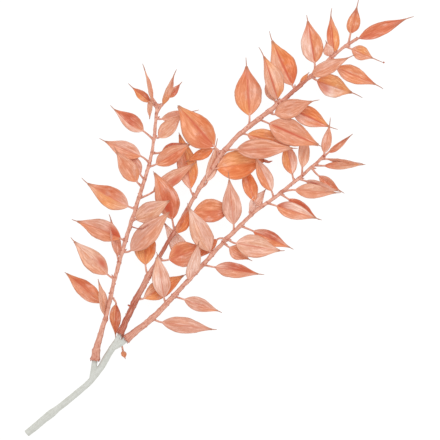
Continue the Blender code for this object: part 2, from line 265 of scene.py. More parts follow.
LEFT_LEAVES = (
    Leaf(36, 20, 5, 27, 30, 14, 12, 64, 0, 3, "PPT", "PTT", 0, 0.1),
    Leaf(38, 35, 14, 67, 41, 15, -14, 5, 0, 2, "SSO", "ODY", 4, 0.5, 0, (0.75, -0.3, 0.7)),
    Leaf(57, -132, 8, -170, 29, 11, -20, 20, 0, 3, "RDD", "OOD", 6, 0.9),
    Leaf(73, 70, 8, 59, 41, 17, 8, 0, 0, 5, "STT", "PPW", 0, 0.2, 0, (0.25, -0.5, 0.8)),
    Leaf(88, 30, 6, 27, 35, 15, -20, 60, 0, 6, "SKS", "SSS", 0, 0.1),
    Leaf(98, -64, 8, -29, 49, 18, 16, 0, 0, 1, "MMS", "MST", -6, 0.2),
    Leaf(108, 84, 5, 86, 49, 18, -32, 4, 10, 7, "OSO", "DKS", 0, 0.4, 0, (0.13, -0.4, 0.8)),
    Leaf(126, -48, 4, -44, 37, 16.5, 24, 0, 0, 1, "TMP", "PTP", -8, 0.1),
    Leaf(137, 86, 7, 78, 41, 18, 10, 0, -8, 7, "TYT", "KDS", 2, 0.5),
    Leaf(147, -48, 14, -38, 43, 13, 0, 0, 0, 3, "PPS", "PSS", 0, 0.3, 0, (0.5, -0.5, 0.7)),
    Leaf(157, 60, 7, 51, 32, 15, 14, 0, 0, 4, "OSS", "OSS", 0, 0.3),
    Leaf(164, 56, 6, 46, 25, 11, -12, 0, 0, 3, "KKK", "KKP", 0, 0.1),
    Leaf(176, -57, 7, -44, 35, 15, 10, 0, 0, 3, "SSS", "ODO", 0, 0.5),
    Leaf(179, 66, 10, 82, 34, 14.5, -6, 0, 0, 5, "OSS", "KKS", 4, 0.5),
    Leaf(188, -73, 9, -60, 23, 9.5, -12, 0, 0, 3, "SRS", "SSS", 0, 0.3),
    Leaf(200, 57, 12, 61, 32, 13.5, 16, 5, 0, 5, "WKK", "SRD", 4, 0.4, 0.4),
    Leaf(204, -110, 4.5, -39, 28, 12.5, 5, 0, 0, 3, "STS", "TTS", 0, 0.3),
    Leaf(219, -92, 5, -70, 27, 9, -14, 15, 0, 7, "PKT", "KPT", 0, 0.1),
    Leaf(223, -30, 17.5, -36, 16, 7, -6, 25, 0, 3, "YNR", "ORX", 2, 0.5),
    Leaf(230, 42, 8, 177, 17, 7, -6, 45, 0, 1, "STS", "STS", 0, 0.2),
    Leaf(228, 53, 8, 54, 21, 8.5, -14, 0, 0, 5, "OYO", "RDD", 6, 0.6),
    Leaf(229, 42, 6, 17, 31, 7.5, 20, 60, 0, 4, "TTT", "SST", 0, 0.2),
    Leaf(230, -80, 5.3, -20, 30, 7.5, 24, 40, 0, 7, "YTN", "YSX", 0, 0.2),
)
tell_blades("left", LEFT_LEAVES)

# %% Leaves of the middle frond
MIDDLE_LEAVES = (
    Leaf(28, -168, 44, -140, 8, 5, -28, 10, 0, 1, "SOO", "OOO"),
    # Paler letters than this leaf's dye: painted light where a leaf of the right frond shades it.
    Leaf(33, -58, 7, -33, 41, 16, -16, 0, 0, 4, "TYY", "YBY", 2, 0.5),
    Leaf(55, 42, 11, 31, 38, 19, -12, 0, 0, 3, "YYY", "YBY", 0, 0.6),
    Leaf(72, -58, 10, -40, 32, 21.5, -4, 0, 0, 2, "OOD", "DSO", 0, 0.5, 0, (0.3, 0.4, 0.6)),
    Leaf(98, -43, 4, 4, 25, 12, 12, 40, 0, 3, "ODO", "BBO", 2, 0.5),
    Leaf(101, 42, 11, 52, 44, 20, 9, 0, 24, 2, "TSS", "DDO", 2, 0.3, 0.45, (0.25, 0.2, 0.9)),
    Leaf(123, -78, 6, -57, 36, 20, -4, 0, 0, 3, "OON", "ODR", 0, 0.3),
    # G on this leaf is painted light, where the leaves above shade it.
    Leaf(136, 57, 8, 41, 50.5, 18, -14, 0, 12, 2, "KSG", "BGG", 4, 0.7),
    # W on this leaf is partly painted light over the shade that the leaves round it cast.
    Leaf(145, -18, 9, 17, 31, 13, 0, 45, 0, 8, "WPW", "WTP", 0, 0.1),
    Leaf(164, -47, 5, -47, 43, 25, -8, 0, 0, 1, "OYB", "BBB", 0, 0.3),
    Leaf(176, 70, 9.7, 151, 25, 9, -10, 0, 0, 2, "BBB", "OBB", 0, 0.3),
    Leaf(181, 85, 10, 78, 47, 22, 8, 0, 0, 1, "DOO", "OOY", 2, 0.9, 0.08, (0.22, 0.15, 0.35), 0.38),
    Leaf(184, -47, 11, -52, 50, 17, 14, 0, 0, 5, "NSS", "NNS", 2, 0.5),
    Leaf(205, -53, 6, -54, 39, 16.5, -4, 0, 0, 3, "YYY", "SSS", 0, 0.6),
    Leaf(214, 48, 10, 55, 45, 23, -14, 0, 0, 7, "YOD", "OSD", 0, 0.8),
    Leaf(225, -61, 10, -61, 47, 22, 4, 0, 0, 4, "SSO", "SSO", 3, 1.0),
    Leaf(236, -64, 6, -20, 36, 16, 20, 0, 0, 6, "SNS", "SSN", -6, 0.1),
    Leaf(245, 79, 4, 67, 23, 12, -14, 0, 0, 3, "PPP", "PPP", 0, 0.1),
    Leaf(247, -62, 14, -64, 34.5, 18, 4, 0, 0, 8, "SBY", "KKD", 8, 1.0),
    Leaf(249, 92, 4, 70, 39.5, 22, 14, 36, 0, 9, "KTS", "YPY", 4, 1.0),
    Leaf(266, 85, 5, 74, 43, 22, -4, 0, 0, 8, "SPY", "DBY", 8, 1.0),
    Leaf(271, 40, 3, 9, 11, 4, 8, 30, 0, 1, "OYY", "OOY"),
    Leaf(282, 2, 3, -18, 37, 12.5, 22, 0, 0, 6, "SKS", "SSS", -4, 0.2),
    # G and V on this leaf are painted light: it tilts down, away from the lamp.
    Leaf(284, -77, 7, -60, 42.5, 19.5, -39, 0, 0, 12, "BGG", "DVG", 0, 0.5, 0, (0.3, -0.4, 0.6)),
    Leaf(288, 45, 9, 57, 37, 19.5, 10, 0, 0, 7, "KWD", "OOD", 8, 0.9),
    Leaf(307, 58, 2, 64, 13, 9, 20, 0, 0, 2, "KKK", "KWK", 0, 0.0),
    Leaf(308, -102, 10, -64, 38, 15, -10, 0, 0, 10, "OOD", "SOS", 6, 0.7),
    Leaf(311, 37, 2, 54, 34, 12, -12, 20, 0, 7, "SDS", "YYS", 2, 0.9),
    Leaf(324, -57, 6, -56, 21, 12.5, -16, 0, 0, 11, "SYS", "SSS", 0, 0.6),
    Leaf(327, 45, 10, 44, 24, 12, 18, 15, 0, 7, "OOX", "DOX", 4, 0.6),
    Leaf(335, -12, 3, -12, 44, 12, 4, 0, 0, 8, "DDR", "RDX", 2, 0.5),
)
tell_blades("middle", MIDDLE_LEAVES)

# %% Leaves of the right frond
RIGHT_LEAVES = (
    Leaf(29, -66, 10, -52, 48, 14, -22, 0, 0, 5, "MKM", "MMM", 0, 0.4),
    Leaf(47, 65, 6, 52, 39, 15, 16, 0, 0, 3, "KWP", "MKW", -6, 0.5),
    Leaf(56, -63, 10, -65, 31.5, 12, -6, 0, 0, 4, "KMK", "MMO", 0, 0.5),
    Leaf(73, -20, 3.5, 30, 36, 15, 24, 45, 0, 3, "KWK", "MWM", -4, 0.2),
    # V is painted light: this leaf lies in the shade of the middle stem and its leaves.
    Leaf(84, 73, 8, 75, 43.5, 14.5, -8, 0, 0, 3, "VVV", "VVV", -4, 0.2),
    Leaf(94, -60, 11, -56, 38.5, 14, 6, 0, 0, 5, "KRD", "MSM", 4, 0.6),
    Leaf(105, 64, 4, 68, 44, 17.5, 18, 0, 0, 4, "PPW", "KKW", -8, 0.2),
    Leaf(120, -83, 7, -78, 20, 12.5, -10, 0, 0, 3, "SOS", "SSO", 0, 0.3),
    Leaf(124, 135, 8, 178, 24, 10, -12, 25, 0, 3, "ODO", "DOO", 4, 0.5),
    Leaf(125, -74, 9, -55, 39.5, 19, 10, 0, 0, 5, "KPK", "PKP", -6, 0.6),
    Leaf(133, 44, 7, 51, 40, 16, 14, 0, 0, 7, "KMK", "MKM", -6, 0.5),
    Leaf(141, -66, 13, -68, 40, 13, -28, 0, 0, 4, "KRK", "DOO", 4, 0.6),
    # W is painted light: this leaf tilts away from the lamp and lies in shade.
    Leaf(155, 80, 3.5, 12, 25, 12.5, -22, 30, 0, 3, "WWW", "WWK", -4, 0.1),
    Leaf(167, 110, 8, 72, 35, 12.5, -14, 0, 0, 0.5, "BOB", "OBB", 2, 0.7),
    Leaf(172, -51, 9, -51, 36, 14.5, 8, 0, 0, 5, "RWK", "OSS", 6, 0.6),
    Leaf(179, 69, 7, 79, 33.5, 12.5, 8, 0, 0, 3, "OOO", "WKK", 2, 0.5),
    Leaf(186, -71, 9, -72, 30.5, 10, -8, 0, 0, 3, "DRD", "RKD", 4, 0.6),
    Leaf(188, -29, 12, -42, 36, 12.5, 4, 0, 0, 4, "STS", "SST", 2, 0.5),
    Leaf(202, 64, 7, 62, 30, 13.5, -6, 0, 0, 3, "OYD", "WKB", 4, 0.5),
    Leaf(207, -60, 7, -57, 30, 11, 16, 45, 0, 3, "KKK", "KSK", 2, 0.3, 0, (0.3, 0.0, 0.8)),
    Leaf(211, 48, 7, 46, 32, 11, -6, 25, 0, 3, "TPT", "PTP", 0, 0.3),
    Leaf(222, -90, 10, -76, 22.5, 8.5, -14, 15, 0, 5, "KSD", "SDD", 4, 0.5),
    Leaf(225, -45, 9, -40, 33, 7, 2, 15, 0, 3, "DSY", "DTT", 0, 0.5),
    Leaf(233, -42, 6, -49, 29, 8.5, 12, 60, 0, 3, "SSS", "SSS", 0, 0.3),
    Leaf(236, 38, 3.5, 38, 24.5, 8.5, 6, 10, 0, 6, "SKS", "KSS", 0, 0.3),
    Leaf(237, 0, 5, -4, 25, 8, -10, 50, 0, 3, "SDX", "DSX", 0, 0.4),
)
tell_blades("right", RIGHT_LEAVES)

# %% [markdown]
# ## The bark of each frond
# The bark isn't one colour along a stem. It is redder at the cut end, and on the middle frond also round the big
# leaves. A few dark nubs sit in places that catch the eye, so these are marked one by one.

# %% Marked bark and the three fronds
# How deep a red-brown the bark of each frond's own stem is, as (length along it, share) pairs.
LEFT_DEEP = ((0, 0.55), (3, 0.3), (30, 0.2), (232, 0.1))
MIDDLE_DEEP = ((0, 0.9), (30, 0.85), (48, 0.35), (68, 0.3), (78, 0.85), (95, 0.8), (110, 0.3), (140, 0.15),
               (180, 0.25), (252, 0.25), (258, 0.7), (276, 0.7), (284, 0.25), (337, 0.3))
RIGHT_DEEP = ((0, 0.45), (25, 0.2), (130, 0.25), (238, 0.2))
# Dark nubs on the bark: the length along the stem, the turn around it (0 is on top, 90 on the left), how far they
# stand out, and their radius.
LEFT_NUBS = ((60, 80, 0.8, 0.8), (150, -70, 0.7, 0.7))
MIDDLE_NUBS = ((25, 90, 1.7, 1.0), (73, 60, 0.8, 0.9), (228.5, -40, 0.9, 0.9), (246.5, 0, 0.8, 1.2),
               (257, -60, 0.8, 0.8))
RIGHT_NUBS = ((60, -80, 0.8, 0.8), (236.5, 10, 1.0, 1.2))

Frond = namedtuple("Frond", "path radii deep nubs leaves seed")
FRONDS = {
    "left": Frond(Path(LEFT_PATH), LEFT_RADII, LEFT_DEEP, LEFT_NUBS, LEFT_LEAVES, 1),
    "middle": Frond(Path(MIDDLE_PATH), MIDDLE_RADII, MIDDLE_DEEP, MIDDLE_NUBS, MIDDLE_LEAVES, 2),
    "right": Frond(Path(RIGHT_PATH), RIGHT_RADII, RIGHT_DEEP, RIGHT_NUBS, RIGHT_LEAVES, 3),
}
for side, plan in FRONDS.items():
    print(side, "frond:", len(plan.leaves), "leaves on", round(plan.path.length), "mm of stem")

# %% [markdown]
# ## Skeletons
# A blade and a stem both follow a line, so each is first drawn as a thin line of points, its skeleton. Every point
# carries named values: for a blade, how far along it is, how wide each half may be and what its colours are, dyes with
# painted light and shade. Geometry Nodes then put the skin on. This keeps the drawing and the shaping apart: a line is
# easy to lay by hand, and one tree shapes every leaf.

# %% Skeleton meshes with named values
# How many numbers a value has, with the kind of attribute that holds it and the field that sets it.
KINDS = {1: ("FLOAT", "value"), 3: ("FLOAT_VECTOR", "vector"), 4: ("FLOAT_COLOR", "color")}


class Skeleton:
    """Lines of points in millimetres, each point with the same named values."""

    def __init__(self, name):
        self.name, self.points, self.edges, self.values = name, [], [], {}

    def line(self, rows):
        """Adds one line. Each row is a point and its values by name."""
        start = len(self.points)
        for point, values in rows:
            self.points.append(point * MM)
            for key, value in values.items():
                self.values.setdefault(key, []).append(value)
        self.edges += [(i, i + 1) for i in range(start, len(self.points) - 1)]

    def made(self):
        """The lines as an object, with an attribute for each named value."""
        mesh = bpy.data.meshes.new(self.name)
        mesh.from_pydata(self.points, self.edges, [])
        for key, values in self.values.items():
            size = len(values[0]) if hasattr(values[0], "__len__") else 1
            flat = [part for value in values for part in value] if size > 1 else values
            kind, field = KINDS[size]
            mesh.attributes.new(key, kind, "POINT").data.foreach_set(field, flat)
        return linked(self.name, mesh)


print("a point of a skeleton can hold:", [kind for kind, _ in KINDS.values()])

# %% [markdown]
# ## The parts of a leaf
# A ruscus leaf has more parts than its blade. A short stalk leaves the stem, bends at an elbow and runs on below the
# blade as its midrib. A small dry bract sits at the stalk's foot, and the blade's tip ends in a fine bristle. Real
# leaves never lie flat, so each blade also gets its own fold, arch and twist by chance, from a fixed seed.

# %% Rows of tubes, and how a blade leans
NO_NODE = 9.0


def lean(forward, roll):
    """The blade's own left and up where it points forward and is rolled this far."""
    level, rise = across(forward)
    left = math.cos(math.radians(roll)) * level + math.sin(math.radians(roll)) * rise
    return left, forward.cross(left)


def tube_row(point, radius, along, deep=0.0):
    """A row of a plain tube, which stays on or above the table."""
    return Vector((point.x, point.y, max(point.z, radius))), {
        "thick": radius * MM, "since_node": NO_NODE, "to_node": NO_NODE, "along": along, "deep": deep}


print("rolled by 90 degrees, a blade's left side points to", [round(v) for v in lean(Vector((1, 0, 0)), 90)[0]])

# %% Blades
LEAST_FOLD, MOST_FOLD = 8.0, 18.0
LEAST_ARCH, MOST_ARCH = 4.0, 22.0
MOST_TWIST, TWIST_PIVOT = 7.0, 0.3
BLADE_ROWS = 34
FULLNESS = 1.05
NO_MARK = (0.0, 0.0, 0.0)


def draw_blade(leaf, base, heading, draws, extra, skeleton):
    """Adds a blade's midrib with what shapes it and colours it with dyes and painted light; gives back the midrib's
    points and directions.
    """
    fold = draws.uniform(LEAST_FOLD, MOST_FOLD)
    arch = draws.uniform(LEAST_ARCH, MOST_ARCH) * (-1 if leaf.lift < 0 else 1)
    twist, tone = extra.uniform(-MOST_TWIST, MOST_TWIST), extra.uniform(-1, 1)
    rib = [(base, direction(heading + leaf.aim - leaf.bend / 2, leaf.lift + arch / 2))]
    for row in range(BLADE_ROWS):
        t = (row + 0.5) / BLADE_ROWS
        forward = direction(heading + leaf.aim + leaf.bend * (t - 0.5), leaf.lift + arch * (0.5 - t))
        rib.append((rib[-1][0] + forward * leaf.blade / BLADE_ROWS, forward))

    rows = []
    for row, (point, forward) in enumerate(rib):
        t = row / BLADE_ROWS
        left, rise = lean(forward, leaf.roll + twist * (t - TWIST_PIVOT))
        rows.append((point, {
            "along": t, "half": leaf.wide / 2 * FULLNESS * MM, "fold": math.radians(fold + leaf.crease),
            "tone": tone, "leftward": left, "upward": rise, "left_dye": (*dye_and_light_at(leaf.left, t), 1),
            "right_dye": (*dye_and_light_at(leaf.right, t), 1), "rib_tone": float(leaf.rib), "split": float(leaf.split),
            "mark": leaf.mark or NO_MARK, "lop": float(leaf.lop),
        }))
    skeleton.line(rows)
    return rib


print("points in a blade:", BLADE_ROWS + 1)

# %% Stalks and midribs
STALK_ROWS = 8
STALK_RADII = ((0.0, 1.5), (0.25, 1.05), (0.8, 0.85), (1.0, 0.95))
STALK_DEEP = 0.35
ELBOW_SHARE = 0.45
RIB_SHARE = 0.62
RIB_RADII = ((0.0, 0.7), (0.15, 0.5), (1.0, 0.16))
RIB_DROP = 0.75


def draw_stalk(leaf, root, base, rib, skeleton):
    """Adds the stalk, which bends at its elbow and runs on as the midrib below the blade."""
    elbow = base - ELBOW_SHARE * leaf.stalk * rib[0][1]
    stalk = []
    for row in range(STALK_ROWS):
        share = row / (STALK_ROWS - 1)
        point = root.lerp(elbow, share).lerp(elbow.lerp(base, share), share)
        stalk.append(tube_row(point, between(STALK_RADII, share), share * leaf.stalk, STALK_DEEP * (1 - share)))
    for row in range(2, round(BLADE_ROWS * RIB_SHARE), 2):
        share = row / (BLADE_ROWS * RIB_SHARE)
        point, forward = rib[row]
        radius = between(RIB_RADII, share)
        stalk.append(tube_row(point - lean(forward, leaf.roll)[1] * radius * RIB_DROP, radius, leaf.stalk + row))
    skeleton.line(stalk)


print("points in a stalk:", STALK_ROWS, "and below its blade:", len(range(2, round(BLADE_ROWS * RIB_SHARE), 2)))

# %% Bracts and bristles
BRACT_SHARES = (0.0, 0.35, 0.7, 1.0)
BRACT_RADII = ((0.0, 1.3), (0.5, 0.9), (1.0, 0.25))
BRACT_TURNS, BRACT_RISES, BRACT_REACHES = (0.4, 0.9), (0, 40), (2.2, 4.4)
BRACT_ROOT, BRACT_DEEP = 0.6, 0.5
BRISTLE_ROWS = 7
BRISTLE_RADII = ((0.0, 0.6), (0.3, 0.5), (0.8, 0.34), (1.0, 0.2))
BRISTLE_SWAY, BRISTLE_OVERLAP = 0.2, 1.5


def draw_bract(plan, leaf, root, heading, extra, skeleton):
    """Adds the dry bract at the stalk's foot."""
    outward = direction(heading + leaf.out * extra.uniform(*BRACT_TURNS), extra.uniform(*BRACT_RISES))
    start = root + between(plan.radii, leaf.along) * BRACT_ROOT * direction(heading + leaf.out, 0)
    reach = extra.uniform(*BRACT_REACHES)
    skeleton.line([tube_row(start + outward * reach * share, between(BRACT_RADII, share), share, BRACT_DEEP)
                   for share in BRACT_SHARES])


def draw_bristle(leaf, rib, extra, skeleton):
    """Adds the bristle, which starts inside the blade's tip and sways a little."""
    point, forward = rib[-1]
    sway = Vector((extra.uniform(-1, 1), extra.uniform(-1, 1), 0)) * BRISTLE_SWAY * leaf.tail
    bristle = []
    for row in range(BRISTLE_ROWS):
        share = row / (BRISTLE_ROWS - 1)
        spot = point + forward * (leaf.tail * share - BRISTLE_OVERLAP * (1 - share)) + sway * share * share
        bristle.append(tube_row(spot, between(BRISTLE_RADII, share), share * leaf.tail, share))
    skeleton.line(bristle)


def draw_leaf(plan, leaf, draws, extra, skeletons):
    """Adds one leaf with all its parts to the skeletons. Its stalk rises half as steeply as its blade."""
    root, ahead = plan.path.at(leaf.along)
    heading = math.degrees(math.atan2(ahead.y, ahead.x))
    base = root + leaf.stalk * direction(heading + leaf.out, leaf.lift / 2)
    rib = draw_blade(leaf, base, heading, draws, extra, skeletons["blades"])
    draw_stalk(leaf, root, base, rib, skeletons["stalks"])
    draw_bract(plan, leaf, root, heading, extra, skeletons["stalks"])
    draw_bristle(leaf, rib, extra, skeletons["bristles"])


print("points in a bract:", len(BRACT_SHARES), "in a bristle:", BRISTLE_ROWS)

# %% The fronds' own stems
RACHIS_STEP = 0.8
WAVER, WAVER_SCALE, WAVER_SEED = 0.45, 0.11, 7


def draw_rachis(plan, skeleton):
    """Adds the frond's own stem, with the distances from the last leaf node and to the next one at each point."""
    nodes = sorted({0.0, *(float(leaf.along) for leaf in plan.leaves)})
    rows, along = [], 0.0
    while along <= plan.path.length:
        point, _ = plan.path.at(along)
        since = along - max(node for node in nodes if node <= along + 1e-6)
        before = min([node - along for node in nodes if node > along], default=NO_NODE)
        waver = noise.noise_vector(point * WAVER_SCALE) * WAVER
        rows.append((point + waver, {"thick": between(plan.radii, along) * MM, "since_node": since,
                                     "to_node": before, "along": along, "deep": between(plan.deep, along)}))
        along += RACHIS_STEP
    skeleton.line(rows)


noise.seed_set(WAVER_SEED)
print("points in the longest stem:", int(FRONDS["middle"].path.length / RACHIS_STEP) + 1)

# %% [markdown]
# ## Small rough parts
# Dry bark is never clean. Small nubs are left where buds and scales sat. Where a frond was pulled off its plant and
# pushed over the pale stem, its bark ends in short torn teeth. A few loose bits are drawn one by one: a thread over a
# leaf, a curled tip and a knob on a bristle. All of them are short tubes that start inside a stem, a leaf or a bristle,
# so the stem tree can skin them with everything else.

# %% Nubs and torn teeth
FIRST_NUB, NUB_GAP, NUB_ROOT = 8.0, (7.0, 15.0), 0.5
# The turn around the stem, the height, the radius and the depth of colour of a nub that is placed by chance.
NUB_SPANS = ((-180, 180), (0.1, 0.5), (0.6, 0.9), (0.2, 0.8))
NUB_TAPER = ((0.0, 1.0), (0.5, 0.95), (0.85, 0.7), (1.0, 0.3))
FRAY_TEETH = 11
TOOTH_SHIFT, TOOTH_REACH = (-0.3, 0.3), (0.8, 2.0)
TOOTH_ROOT, TOOTH_RING, TOOTH_SPLAY = 1.2, 0.86, 0.3
TOOTH_THICK, TOOTH_TAPER, TOOTH_DEEP = 0.7, 0.4, 0.7


def outward_at(forward, turn):
    """The direction straight out of a stem at this turn around it, from its top towards its left."""
    left, rise = across(forward)
    return math.sin(turn) * left + math.cos(turn) * rise


def draw_nubs(plan, draws, skeleton):
    """Adds small nubs on the bark, the marked ones and others by chance."""
    nubs, along = [(*nub, 1.0) for nub in plan.nubs], FIRST_NUB
    while along < plan.path.length:
        nubs.append((along, *(draws.uniform(*span) for span in NUB_SPANS)))
        along += draws.uniform(*NUB_GAP)
    for along, turn, height, radius, deep in nubs:
        point, forward = plan.path.at(along)
        outward, bark = outward_at(forward, math.radians(turn)), between(plan.radii, along)
        start, reach = bark * NUB_ROOT, bark * (1 - NUB_ROOT) + height
        skeleton.line([tube_row(point + outward * (start + reach * share), radius * size, share, deep)
                       for share, size in NUB_TAPER])


def draw_teeth(plan, draws, skeleton):
    """Adds torn teeth round the stem's cut end."""
    point, forward = plan.path.at(0)
    rim = between(plan.radii, 0)
    for tooth in range(FRAY_TEETH):
        outward = outward_at(forward, math.tau * (tooth + draws.uniform(*TOOTH_SHIFT)) / FRAY_TEETH)
        reach = draws.uniform(*TOOTH_REACH)
        rows = []
        for share in (0.0, 0.5, 1.0):
            spot = point + outward * (rim * TOOTH_RING + TOOTH_SPLAY * share)
            spot = spot + forward * (TOOTH_ROOT - (TOOTH_ROOT + reach) * share)
            rows.append(tube_row(spot, TOOTH_THICK - TOOTH_TAPER * share, share, TOOTH_DEEP))
        skeleton.line(rows)


print("teeth round each cut end:", FRAY_TEETH)

# %% Loose bits, and all the skeletons
# Loose bits with their points and the radius at each: the thin stalk that crosses a left leaf, the curled dark tip
# of a middle leaf, and the knob on the last bristle.
LOOSE_BITS = {
    "left": ((((-15, -54, 16.5), 0.7), ((-9.1, -51, 25), 0.5), ((-5.6, -48.3, 26.4), 0.45),
              ((-4.2, -42.2, 27.5), 0.4)),),
    "middle": ((((29.5, 68.3, 14.2), 0.5), ((32.5, 68.4, 14), 1.6), ((35, 69.8, 13.7), 1.1),
                ((36.6, 72.6, 14.2), 0.3)),
               (((48.5, 202.1, 10), 0.5), ((49.1, 202.6, 9.8), 1.0), ((49.6, 203.1, 9.6), 0.5))),
    "right": (),
}
BIT_DEEP = 0.8
EXTRA_SEED = 100

drawn = {}
for side, plan in FRONDS.items():
    skeletons = {part: Skeleton(f"{side}_{part}") for part in ("blades", "rachis", "stalks", "bristles")}
    draws, extra = random.Random(plan.seed), random.Random(plan.seed + EXTRA_SEED)
    for leaf in plan.leaves:
        draw_leaf(plan, leaf, draws, extra, skeletons)
    draw_rachis(plan, skeletons["rachis"])
    draw_nubs(plan, extra, skeletons["stalks"])
    draw_teeth(plan, extra, skeletons["stalks"])
    for bit in LOOSE_BITS[side]:
        skeletons["stalks"].line([tube_row(Vector(point), radius, index, BIT_DEEP)
                                  for index, (point, radius) in enumerate(bit)])
    drawn[side] = {part: skeleton.made() for part, skeleton in skeletons.items()}
    print(side, {part: len(obj.data.vertices) for part, obj in drawn[side].items()}, "skeleton points")

# %% [markdown]
# ## A short way to write node trees
# A node tree is a drawing of arrows. In code it is shorter to write one line for each node, with what feeds it, so this
# small class does that. The same class serves Geometry Nodes and shaders.

# %% Node tree helper


class Tree:
    """Adds nodes to a tree, fed in one line each."""

    def __init__(self, tree):
        self.tree = tree

    def feed(self, socket, value):
        """Links an output to this socket, or sets the socket to a plain value."""
        if hasattr(value, "is_output"):
            self.tree.links.new(value, socket)
        elif value is not None:
            socket.default_value = value

    def node(self, kind, feeds=None, **settings):
        """A node with these settings. feeds gives its inputs by name or number."""
        made = self.tree.nodes.new(kind)
        for key, value in settings.items():
            setattr(made, key, value)
        for key, value in (feeds or {}).items():
            live = [socket for socket in made.inputs if socket.enabled]
            self.feed(live[key] if isinstance(key, int) else next(s for s in live if s.name == key), value)
        return made

    def out(self, kind, feeds=None, **settings):
        """The first live output of such a node."""
        return next(socket for socket in self.node(kind, feeds, **settings).outputs if socket.enabled)

    def math(self, operation, *values, clamp=False):
        """A sum, product or function of numbers."""
        return self.out("ShaderNodeMath", dict(enumerate(values)), operation=operation, use_clamp=clamp)

    def times(self, first, *factors):
        """The product of these numbers."""
        for factor in factors:
            first = self.math("MULTIPLY", first, factor)
        return first

    def vector(self, operation, *values):
        """The same for vectors."""
        return self.out("ShaderNodeVectorMath", dict(enumerate(values)), operation=operation)

    def scaled(self, vector, factor):
        """The vector times a number."""
        return self.out("ShaderNodeVectorMath", {0: vector, "Scale": factor}, operation="SCALE")

    def joined(self, x, y, z):
        """A vector from three numbers."""
        return self.out("ShaderNodeCombineXYZ", {0: x, 1: y, 2: z})

    def parts(self, vector):
        """The three numbers of a vector."""
        return self.node("ShaderNodeSeparateXYZ", {0: vector}).outputs

    def ramp(self, value, low, high, to_low=0.0, to_high=1.0):
        """The value's place between low and high, eased, as a number between to_low and to_high."""
        return self.out("ShaderNodeMapRange", {0: value, 1: low, 2: high, 3: to_low, 4: to_high},
                        interpolation_type="SMOOTHSTEP")

    def noise(self, place, scale, detail, **feeds):
        """A cloudy pattern, read at this place."""
        return self.out("ShaderNodeTexNoise", {"Vector": place, "Scale": scale, "Detail": detail, **feeds})


print("a tree helper can:", [name for name in vars(Tree) if not name.startswith("_")])

# %% Geometry tree helpers


def stored(build, geometry, name, value, kind="FLOAT", domain="POINT"):
    """The geometry with this value kept on it under a name."""
    return build.out("GeometryNodeStoreNamedAttribute", {"Geometry": geometry, "Name": name, "Value": value},
                     data_type=kind, domain=domain)


def named(build, name, kind="FLOAT"):
    """A value that the geometry keeps under this name."""
    return build.out("GeometryNodeInputNamedAttribute", {"Name": name}, data_type=kind)


def new_sockets(tree, way, sockets):
    """Adds named sockets to a tree's input or output side."""
    for title, (kind, default) in sockets.items():
        socket = tree.interface.new_socket(title, in_out=way, socket_type=f"NodeSocket{kind}")
        if default is not None:
            socket.default_value = default


def new_geometry_tree(name, sockets):
    """A Geometry Nodes tree with these named inputs, its helper, and its input node."""
    tree = bpy.data.node_groups.new(name, "GeometryNodeTree")
    new_sockets(tree, "OUTPUT", {"Geometry": ("Geometry", None)})
    new_sockets(tree, "INPUT", {"Geometry": ("Geometry", None), **sockets})
    return tree, Tree(tree), tree.nodes.new("NodeGroupInput").outputs


def end_geometry_tree(build, geometry, material):
    """Ends the tree with smooth, real geometry in the given material."""
    smooth = build.out("GeometryNodeSetShadeSmooth", {"Geometry": geometry})
    real = build.out("GeometryNodeRealizeInstances", {"Geometry": smooth})
    dressed = build.out("GeometryNodeSetMaterial", {"Geometry": real, "Material": material})
    build.tree.links.new(dressed, build.tree.nodes.new("NodeGroupOutput").inputs[0])


def plain(obj):
    """The object with the result of its modifiers as its plain mesh."""
    bpy.context.view_layer.update()
    mesh = bpy.data.meshes.new_from_object(obj.evaluated_get(bpy.context.evaluated_depsgraph_get()))
    obj.modifiers.clear()
    obj.data = mesh
    return obj


def skinned(obj, tree, **values):
    """The object with the tree's result as its plain mesh. Inputs are named, and set by their identifiers."""
    modifier = obj.modifiers.new(tree.name, "NODES")
    modifier.node_group = tree
    for title, value in values.items():
        socket = next(item for item in tree.interface.items_tree if item.name.replace(" ", "_") == title
                      and item.in_out == "INPUT")
        modifier[socket.identifier] = value
    return plain(obj)


print("geometry tree helpers ready, trees so far:", len(bpy.data.node_groups))

# %% [markdown]
# ## The blade tree
# A dried ruscus leaf is a pointed oval, widest a little below its middle, folded along its midrib, with rippled edges.
# The tree sweeps a straight line of points along each midrib, then moves every point to its place: out to the side by
# the outline's width there, up by the fold, and a little by a noise that grows towards the edge. Nothing may go below
# the table.

# %% Blade tree
BLADE_COLUMNS = 21
BLADE_OUTLINE = ((0.0, 0.08), (0.05, 0.34), (0.12, 0.61), (0.2, 0.82), (0.3, 0.97), (0.42, 1.0), (0.54, 0.93),
                 (0.66, 0.74), (0.78, 0.48), (0.88, 0.27), (0.95, 0.15), (1.0, 0.09))
NOISE_MIDDLE, ROUGH_DETAIL = 0.5, 3.0
EDGE_POWER, RAGGED_GAIN, PLEATS = 1.5, 4.0, 6
RIPPLE_AT_EDGE, RIPPLE_AT_RIB = 3.0, 0.4
WAVES_FROM, WAVES_FULL = 0.1, 0.6


def outline_width(build, along):
    """How wide the blade is this far along it, as a share of its greatest width."""
    outline = build.node("ShaderNodeFloatCurve", {"Value": along})
    curve = outline.mapping.curves[0]
    curve.points[0].location, curve.points[-1].location = BLADE_OUTLINE[0], BLADE_OUTLINE[-1]
    for point in BLADE_OUTLINE[1:-1]:
        curve.points.new(*point)
    outline.mapping.update()
    return outline.outputs[0]


